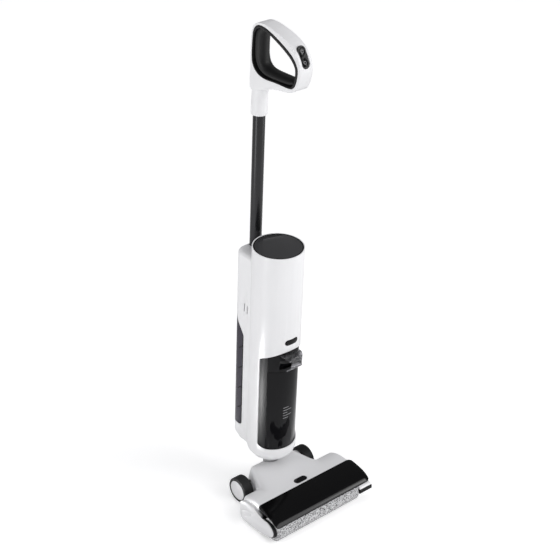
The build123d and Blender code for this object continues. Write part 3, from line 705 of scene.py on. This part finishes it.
def buildHeadCover():
    spec = headCover
    rows, middle, ends = spec["rows"], spec["middleSteps"], spec["endSteps"]
    wing, hump, pull = (softCurve(spec[key], rows) for key in ("wing", "hump", "endPull"))
    edge = spec["endRound"]
    rise = [edge * (1 - math.cos(math.pi / 2 * step / ends)) for step in range(ends)]
    inside = [spec["leftEnd"] + edge + (spec["rightEnd"] - spec["leftEnd"] - 2 * edge) * step / middle
              for step in range(middle + 1)]
    stations = [spec["leftEnd"] + d for d in rise] + inside + [spec["rightEnd"] - d for d in rise[::-1]]

    def placeOf(column, row):
        x = stations[column]
        share = 1 - smoothStep(spec["humpFrom"], spec["humpTo"], abs(x))
        near = max(0.0, edge - min(x - spec["leftEnd"], spec["rightEnd"] - x))
        inset = edge - math.sqrt(max(0.0, edge * edge - near * near))
        y = wing[row][0] + (hump[row][0] - wing[row][0]) * share + pull[row][0] * inset
        z = wing[row][1] + (hump[row][1] - wing[row][1]) * share + pull[row][1] * inset
        return (x, y, z)

    bm = skinFromGrid(len(stations) - 1, rows, placeOf)
    for end in (spec["leftEnd"], spec["rightEnd"]):
        rim = [e for e in bm.edges if e.is_boundary and all(abs(v.co.x - end) < 0.01 for v in e.verts)]
        chain = {v for e in rim for v in e.verts}
        bmesh.ops.contextual_create(bm, geom=list(chain) + rim)
    bmesh.ops.recalc_face_normals(bm, faces=bm.faces)
    tops = [f for f in bm.faces if abs(f.calc_center_median().z - spec["crown"]) < 1]
    if sum(f.normal.z for f in tops) < 0:
        bmesh.ops.reverse_faces(bm, faces=bm.faces)
    placeHead(bm)
    cover = newObject("headCover", bm)
    addWall(cover, spec["wall"])
    cutWith(cover, [
        pin("neckCut", *spec["neckHole"], placeHead, 64),
        boxCutter("slotCut", *spec["neckSlot"], placeHead),
        pill("pillCut", spec["buttonAt"], (1, 0, 0), (0, 0, 1), *spec["buttonHole"], placeHead),
        boxCutter("beltCut", *spec["beltGap"], placeHead),
        pin("axleCut", *spec["axleHole"], placeHead, 32),
    ])
    finishPiece(cover, "headShell", "head", ("head_top",), soften=0.5, degrees=30)


buildHeadCover()
print("head cover built")

# ends of the head: a removable cap on the left and the belt arm's cover on the right
headEnds = {
    "outline": ((-6.4, 30), (-7.4, 45), (-15, 55), (-28, 58.4), (-46, 58.4), (-62, 56.4), (-82, 49),
                (-106, 46.2), (-119, 38), (-123, 27),
                (-118, 17), (-105, 11), (-80, 6.4), (-45, 4.4), (-16, 6), (-8.4, 14)),
    "outside": 138.6, "inside": 131.5, "plate": 1.7, "armPlate": 2.2, "wall": 1.8, "split": -79.0, "rib": 2,
    "length": (-160, 40), "height": (-5, 90), "roomRear": -11, "roomHeight": (9, 50), "spare": 1,
    "dish": (-30.0, 29.0, 38.0, 15.0, 1.2, 0.7), "dishTurn": -27,      # y, z, length, width, line, depth
}


def buildHeadEnds():
    spec = headEnds
    outside, length, height, spare = spec["outside"], spec["length"], spec["height"], spec["spare"]
    cap = pillarOf("endCap", spec["outline"], outside, placeHead)
    y, z, dishLength, dishWidth, line, depth = spec["dish"]
    turn = math.radians(spec["dishTurn"])
    along = (0, math.cos(turn), math.sin(turn))
    centre = (-outside, y, z)
    ring = pill("dishRing", centre, along, (1, 0, 0), dishLength, dishWidth, -spare, depth, placeHead)
    core = pill("dishCore", centre, along, (1, 0, 0), dishLength - 2 * line, dishWidth - 2 * line,
                -2 * spare, depth + spare, placeHead)
    cutWith(ring, [core])
    cutWith(cap, [
        boxCutter("rightHalf", (-spec["inside"], outside + spare), length, height, placeHead),
        boxCutter("frontRoom", (-outside + spec["plate"], 0), (length[0], spec["split"]), height, placeHead),
        boxCutter("capRoom", (-outside + spec["wall"], 0), (spec["split"] + spec["rib"], spec["roomRear"]),
                  spec["roomHeight"], placeHead),
        ring,
    ])
    finishPiece(cap, "headShell", "roller_cap", ("side_cap",), soften=0.7, degrees=34)
    plate = pillarOf("armCover", spec["outline"], outside, placeHead)
    cutWith(plate, [
        boxCutter("leftPart", (-outside - spare, outside - spec["armPlate"]), length, height, placeHead),
    ])
    finishPiece(plate, "headShell", "head", ("side_cover",), soften=0.7, degrees=34)


buildHeadEnds()

# roller cover: bent glossy visor with rounded corners
rollerVisor = {
    "half": 137.0, "thick": 2.4, "rearCorner": 10.0, "frontCorner": 9.0, "columns": 24, "rows": 84,
    "line": ((-66.7, 69.3), (-84, 67.5), (-98, 65.4), (-109, 63.0), (-119, 59.4), (-127, 54.6),
             (-132.2, 50.2), (-134.7, 46.6)),
}


def buildRollerVisor():
    spec = rollerVisor
    columns, rows = spec["columns"], spec["rows"]
    line = softCurve(spec["line"], rows)
    travelled = [0.0]
    for (y0, z0), (y1, z1) in zip(line, line[1:]):
        travelled.append(travelled[-1] + math.hypot(y1 - y0, z1 - z0))

    def placeOf(column, row):
        inset = 0.0
        behind, ahead = travelled[row], travelled[-1] - travelled[row]
        for corner, away in ((spec["rearCorner"], behind), (spec["frontCorner"], ahead)):
            short = max(0.0, corner - away)
            inset += corner - math.sqrt(corner * corner - short * short)
        half = spec["half"] - inset
        return (-half + 2 * half * column / columns, *line[row])

    bm = skinFromGrid(columns, rows, placeOf)
    bmesh.ops.recalc_face_normals(bm, faces=bm.faces)
    if sum(f.normal.z for f in bm.faces) < 0:
        bmesh.ops.reverse_faces(bm, faces=bm.faces)
    placeHead(bm)
    visor = newObject("rollerVisor", bm)
    addWall(visor, spec["thick"])
    finishPiece(visor, "blackGloss", "roller_cover", ("roller_cover",), soften=0.6, degrees=24)


buildRollerVisor()

# roller pile: dense looped yarn with loose tufts
rollerPile = {
    "radius": 27.4, "pile": 1.0, "around": 200, "along": 200, "endDrop": 1.2, "bore": 17.9,
    "fuzz": {"share": 0.62, "along": 0.42, "around": 12, "shift": 0},
    "clump": {"share": 0.3, "along": 0.09, "around": 2.6, "shift": 9},
    "seed": 7, "tufts": 7000, "tuftLength": 1.5, "shortest": 0.5, "reach": 28.4, "endGap": 0.8, "sink": 0.2,
    "lean": (0.5, 0.4, 0.4), "leanShare": 0.8, "tuftHalf": 0.22,
}


def buildRollerPile():
    spec = rollerPile
    low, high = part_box("roller_sleeve")
    axisY, axisZ = (low.y + high.y) / 2 / mm, (low.z + high.z) / 2 / mm
    left, right = low.x / mm, high.x / mm
    around, along, radius, half = spec["around"], spec["along"], spec["radius"], spec["tuftHalf"]
    chance = random.Random(spec["seed"])

    def wave(kind, x, direction):
        part = spec[kind]
        place = Vector((x * part["along"], direction.y * part["around"],
                        direction.z * part["around"] + part["shift"]))
        return part["share"] * noise.noise(place)

    def placeOf(column, row):
        x = left + (right - left) * row / along
        angle = 2 * math.pi * column / around
        direction = Vector((0, math.cos(angle), math.sin(angle)))
        height = radius + spec["pile"] * (wave("fuzz", x, direction) + wave("clump", x, direction))
        if row in (0, along):
            height -= spec["endDrop"]
        return Vector((x, axisY, axisZ)) + direction * height

    bm = skinFromGrid(around, along, placeOf)
    bmesh.ops.remove_doubles(bm, verts=bm.verts, dist=0.01)
    for x in (left, right):
        rim = [e for e in bm.edges if e.is_boundary and all(abs(v.co.x - x) < 0.1 for v in e.verts)]
        inner = bmesh.ops.extrude_edge_only(bm, edges=rim)
        verts = [v for v in inner["geom"] if isinstance(v, bmesh.types.BMVert)]
        for vert in verts:
            radial = Vector((0, vert.co.y - axisY, vert.co.z - axisZ)).normalized()
            vert.co = Vector((x, axisY, axisZ)) + radial * spec["bore"]
    for _ in range(spec["tufts"]):
        x = chance.uniform(left + spec["endGap"], right - spec["endGap"])
        angle = chance.uniform(0, 2 * math.pi)
        direction = Vector((0, math.cos(angle), math.sin(angle)))
        lean = Vector([chance.uniform(-most, most) for most in spec["lean"]])
        base = Vector((x, axisY, axisZ)) + direction * (radius - spec["sink"])
        length = min(spec["tuftLength"] * chance.uniform(spec["shortest"], 1.0), spec["reach"] - radius)
        tip = base + direction * length + lean * spec["leanShare"]
        side = direction.cross(lean).normalized() * half
        other = direction.cross(side).normalized() * half
        corners = [bm.verts.new(base + side), bm.verts.new(base - side * 0.5 + other),
                   bm.verts.new(base - side * 0.5 - other), bm.verts.new(tip)]
        for a, b in ((0, 1), (1, 2), (2, 0)):
            bm.faces.new((corners[a], corners[b], corners[3]))
    bmesh.ops.recalc_face_normals(bm, faces=bm.faces)
    for vert in bm.verts:
        vert.co *= mm
    pile = newObject("rollerPile", bm)
    finishPiece(pile, "rollerFibre", "roller", ("roller_sleeve",), soften=0, degrees=60)


buildRollerPile()
print("roller and its cover built")

# plane of the button panel on the handle
buttonPanel = {"centre": (0, 3.2, 1071.6), "along": (0, 0.456, 0.89), "normal": (0, -0.89, 0.456),
               "hollow": (46.4, 20.4, -7, 14)}     # length, width, from, to

# handle: white band round a black soft ring
handle = {
    "half": 16.0,
    "band": ((143, 978), (141.6, 1010), (141.4, 1058), (138.6, 1089), (127, 1104.6), (105, 1109.6),
             (74, 1107), (42, 1100), (15, 1087.6), (-3, 1067), (-8, 1046), (-4, 1022), (6, 1003.6),
             (26, 993.6), (62, 986.6),
             (94, 977), (118, 964), (138, 962)),
    "grip": ((136.6, 1022), (137.6, 1058), (135, 1087), (123, 1101.4), (104, 1104.2), (80, 1099.4),
             (46, 1087),
             (18, 1073), (3, 1058), (-1, 1044.6), (2, 1024), (9.4, 1009.4), (24, 1003), (62, 1000.6),
             (100, 997.4), (124, 1004)),
    "hole": ((134.2, 1023), (135.2, 1057), (132, 1082.6), (119.4, 1095.6), (101, 1096.6), (81, 1091.4),
             (50, 1079.6), (24, 1066.4), (10.8, 1054.4), (7, 1043.6), (8.4, 1027), (13.6, 1013), (25, 1006.2),
             (62, 1003.6), (99, 1000.2), (121, 1006.4)),
    "rod": ((100, 1099.6, 9, 4.4), (112, 1096.5, 12.4, 8), (120.6, 1088, 14.6, 11.4), (124, 1074, 15.4, 12.8),
            (124.4, 1052, 15.4, 12.8), (123.6, 1037, 15.4, 12.6), (117.4, 1020.5, 15.4, 11.8),
            (103, 1010.6, 15.2, 10.6), (82, 1008.6, 15, 9.6), (52, 1010.4, 14.8, 8.8),
            (27, 1013, 14, 7.8),
            (16, 1015.4, 12, 5.6)),                # y, z, half width, half depth
    "rodSteps": 60, "bandRound": 3.0, "liningRound": 1.8, "liningWider": 0.7, "windowHalf": 40,
    "collar": {"foot": 908.0, "top": 996.0, "steps": 16, "y": 129, "radius": 17.2, "waist": 0.25,
               "forward": 3.5, "narrower": 1.6, "deeper": 0.8},
    "bore": (13.02, (0, 129, 900), (0, 129, 961)), "pinHole": (3.2, (0, 140, 940), (0, 152, 940)),
}


def buildHandle():
    spec = handle
    band = ringBand("handleBand", spec["band"], spec["grip"], spec["half"], placeUpright)
    softenEdges(band, spec["bandRound"], 4)
    part, rings = spec["collar"], []
    for step in range(part["steps"] + 1):
        z = part["foot"] + (part["top"] - part["foot"]) * step / part["steps"]
        ease = smoothStep(part["waist"], 1.0, step / part["steps"])
        centre = (0, part["y"] - part["forward"] * ease, z)
        across = (part["radius"] - part["narrower"] * ease, 0, 0)
        rings.append((centre, across, (0, part["radius"] + part["deeper"] * ease, 0)))
    collar = newObject("collar", placed(sweptRings(rings, 48), placeUpright))
    cutWith(band, [collar], "UNION")
    bore = pin("bore", *spec["bore"], placeUpright, 64)
    pinHole = pin("pinHole", *spec["pinHole"], placeUpright, 32)
    hollow = pill("hollow", buttonPanel["centre"], buttonPanel["along"], buttonPanel["normal"],
                  *buttonPanel["hollow"], placeUpright)
    window = pillarOf("gripWindow", spec["grip"], spec["windowHalf"], placeUpright)
    cutWith(band, [bore, pinHole, hollow, window])
    shells = ("handle_shell_left", "handle_shell_right")
    finishPiece(band, "whiteShell", "body", shells, soften=0.5, degrees=40)

    liningHalf = spec["half"] + spec["liningWider"]
    lining = ringBand("gripLining", spec["grip"], spec["hole"], liningHalf, placeUpright)
    softenEdges(lining, spec["liningRound"])
    samples = softCurve(spec["rod"], spec["rodSteps"])
    rings = []
    for index, (y, z, wide, deep) in enumerate(samples):
        before, after = samples[max(index - 1, 0)], samples[min(index + 1, len(samples) - 1)]
        along = Vector((0, after[0] - before[0], after[1] - before[1])).normalized()
        rings.append(((0, y, z), (wide, 0, 0), along.cross(Vector((1, 0, 0))) * deep))
    rod = newObject("gripRod", placed(sweptRings(rings, 40), placeUpright))
    smoothByAngle(rod, 50)
    grip = joinObjects("handleGrip", [lining, rod])
    finishPiece(grip, "softGrip", "body", ("handle_grip",), soften=0, degrees=40)


buildHandle()
print("handle built")

# lower cup: a shallow bowl whose foot leaves the grey neck in view; its section is radius, height
cupProfile = ((18.2, 96.5), (18.2, 94.0), (32.0, 94.0), (40.5, 96.2), (48.4, 102.0), (53.6, 109.6),
              (56.0, 118.0), (53.8, 118.0), (51.6, 110.6), (46.8, 103.8), (39.6, 98.4), (32.0, 96.5))
cup = spunPiece("lowerCup", [(radius, bodyY, height) for radius, height in cupProfile], (0, bodyY, 0),
                (0, 0, 1), 96, placeUpright)
finishPiece(cup, "whiteShell", "body", ("lower_cup",), soften=0.4, degrees=34)

# clear bail on the tank's lid
bail = {
    "side": ((8, 389.5), (-6, 391), (-18, 388.4), (-24.2, 379), (-22.6, 366), (-15, 358), (-12.4, 359.2),
             (-19.4, 367), (-21.4, 378), (-16.6, 385.4), (-6, 387.8), (8, 386.4)),
    "half": 23.5, "corner": 21.0, "length": (-24.6, 30), "height": (340, 410),
}


def buildBail():
    half, corner = bail["half"], bail["corner"]
    lip = prism("clearBail", [(-half, y, z) for y, z in bail["side"]], 0, (2 * half, 0, 0), placeUpright)
    plan = boxCutter("bailPlan", (-half, half), bail["length"], bail["height"], placeUpright, corner, 16)
    cutWith(lip, [plan], "INTERSECT")
    finishPiece(lip, "clearPlastic", "dirty_tank", ("tank_handle",), soften=0.5, degrees=40)


buildBail()

# window of the clean water tank: slanted ribs behind its pane, with an upright bar and a sill
windowRibs = {
    "levels": (196, 250, 304, 358), "rise": 11.0, "thick": 3.4, "ribSpan": (105.5, 118.8),
    "face": 47.45, "depth": 0.6, "edge": 2.4, "low": 154.5, "high": 398.0, "barLift": 6,
    "barAt": 104.6, "sillSpan": (112, 119),
}


def buildWindowRibs():
    spec = windowRibs
    edge, low, high, thick, rise = spec["edge"], spec["low"], spec["high"], spec["thick"], spec["rise"]
    bar, (sillFrom, sillTo), (near, far) = spec["barAt"], spec["sillSpan"], spec["ribSpan"]
    foot = low + spec["barLift"]
    outlines = [((bar, foot), (bar + edge, foot), (bar + edge, high), (bar, high)),
                ((sillFrom, low), (sillTo, low), (sillTo, low + edge), (sillFrom, low + edge))]
    for level in spec["levels"]:
        outlines.append(((near, level + rise), (far, level), (far, level + thick),
                         (near, level + rise + thick)))
    ribs = [prism("rib", [(side * spec["face"], y, z) for y, z in outline], 0, (-side * spec["depth"], 0, 0),
                  placeUpright)
            for side in (-1, 1) for outline in outlines]
    finishPiece(joinObjects("windowRibs", ribs), "blackGloss", "clean_tank", (), soften=0, degrees=30)


buildWindowRibs()

# plain marks: level ticks on the dirty water tank, and a ring on each handle button
levelTicks = {"radius": 53.36, "from": -14.0, "spans": (15, 24, 12, 24, 15), "top": 246.0, "step": 7.0,
              "high": 1.1, "thick": 0.12, "columns": 8}
buttonRings = {"section": ((2.7, -0.2), (3.3, -0.2), (3.3, 0.1), (2.7, 0.1)),      # radius, height
               "above": 1.22, "offsets": {"power_button": 11.0, "mode_button": -11.0}}


def buildLevelTicks():
    spec = levelTicks
    marks = []
    for index, span in enumerate(spec["spans"]):
        z = spec["top"] - index * spec["step"]

        def placeOf(column, row):
            angle = math.radians(spec["from"] + span * column / spec["columns"])
            return (spec["radius"] * math.sin(angle), bodyY - spec["radius"] * math.cos(angle),
                    z + row * spec["high"])

        tick = newObject("tick", placed(skinFromGrid(spec["columns"], 1, placeOf), placeUpright))
        addWall(tick, spec["thick"])
        marks.append(tick)
    finishPiece(joinObjects("levelTicks", marks), "paleMark", "dirty_tank", (), soften=0, degrees=30)


def buildButtonRings():
    along, normal = Vector(buttonPanel["along"]), Vector(buttonPanel["normal"])
    for button, offset in buttonRings["offsets"].items():
        centre = Vector(buttonPanel["centre"]) + along * offset + normal * buttonRings["above"]
        corners = [centre + along * radius + normal * height for radius, height in buttonRings["section"]]
        ring = spunPiece(button + "Ring", corners, centre, normal, 40, placeUpright)
        finishPiece(ring, "paleMark", button, (), soften=0, degrees=30)


buildLevelTicks()
buildButtonRings()
print("cup, bail, window and marks built")

# nodes that keep their CAD shape: merged copies with rounded arrises outside, and paint alone inside
plainDress = {
    "whiteShell": ("main_shell", "rear_shell", "drive_arm"),
    "hubPlastic": ("hub_left", "hub_right"),
    "greyPlastic": ("neck_yoke",),
    "darkPlastic": ("head_base", "bay_liner", "cap_rim", "squeegee", "spray_bar", "tank_seal"),
    "blackGloss": ("cover_release", "tank_release", "tank_latch", "display_bezel",
                   "button_panel", "power_button", "mode_button"),
    "displayGlass": ("display_lens",),
    "rubber": ("tyre_left", "tyre_right", "bumper"),
    "smokedTank": ("dirty_tank", "tank_lid"),
    "smokedWindow": ("clean_tank", "filler_flap"),
    "blackTube": ("handle_tube",),
}
for finish, nodes in plainDress.items():
    for node in nodes:
        dressNode(node, finish)
innerNodes = {
    "darkPlastic": ("inlet_pipe", "roller_core", "roller_bushes", "motor_housing", "suction_fan",
                    "water_pump", "tube_socket", "swivel_ring", "neck_hose", "motor_pulley",
                    "roller_pulley", "tank_baffles"),
    "steel": ("wheel_axles", "roller_motor", "return_springs", "snap_pin", "pivot_brackets"),
    "rubber": ("drive_belt",),
    "clearPlastic": ("float_ball",),
    "filterPaper": ("air_filter",),
    "boardGreen": ("circuit_boards",),
    "cellWrap": ("battery_pack",),
}
for finish, nodes in innerNodes.items():
    for node in nodes:
        paintNode(node, finish)
print("nodes dressed")
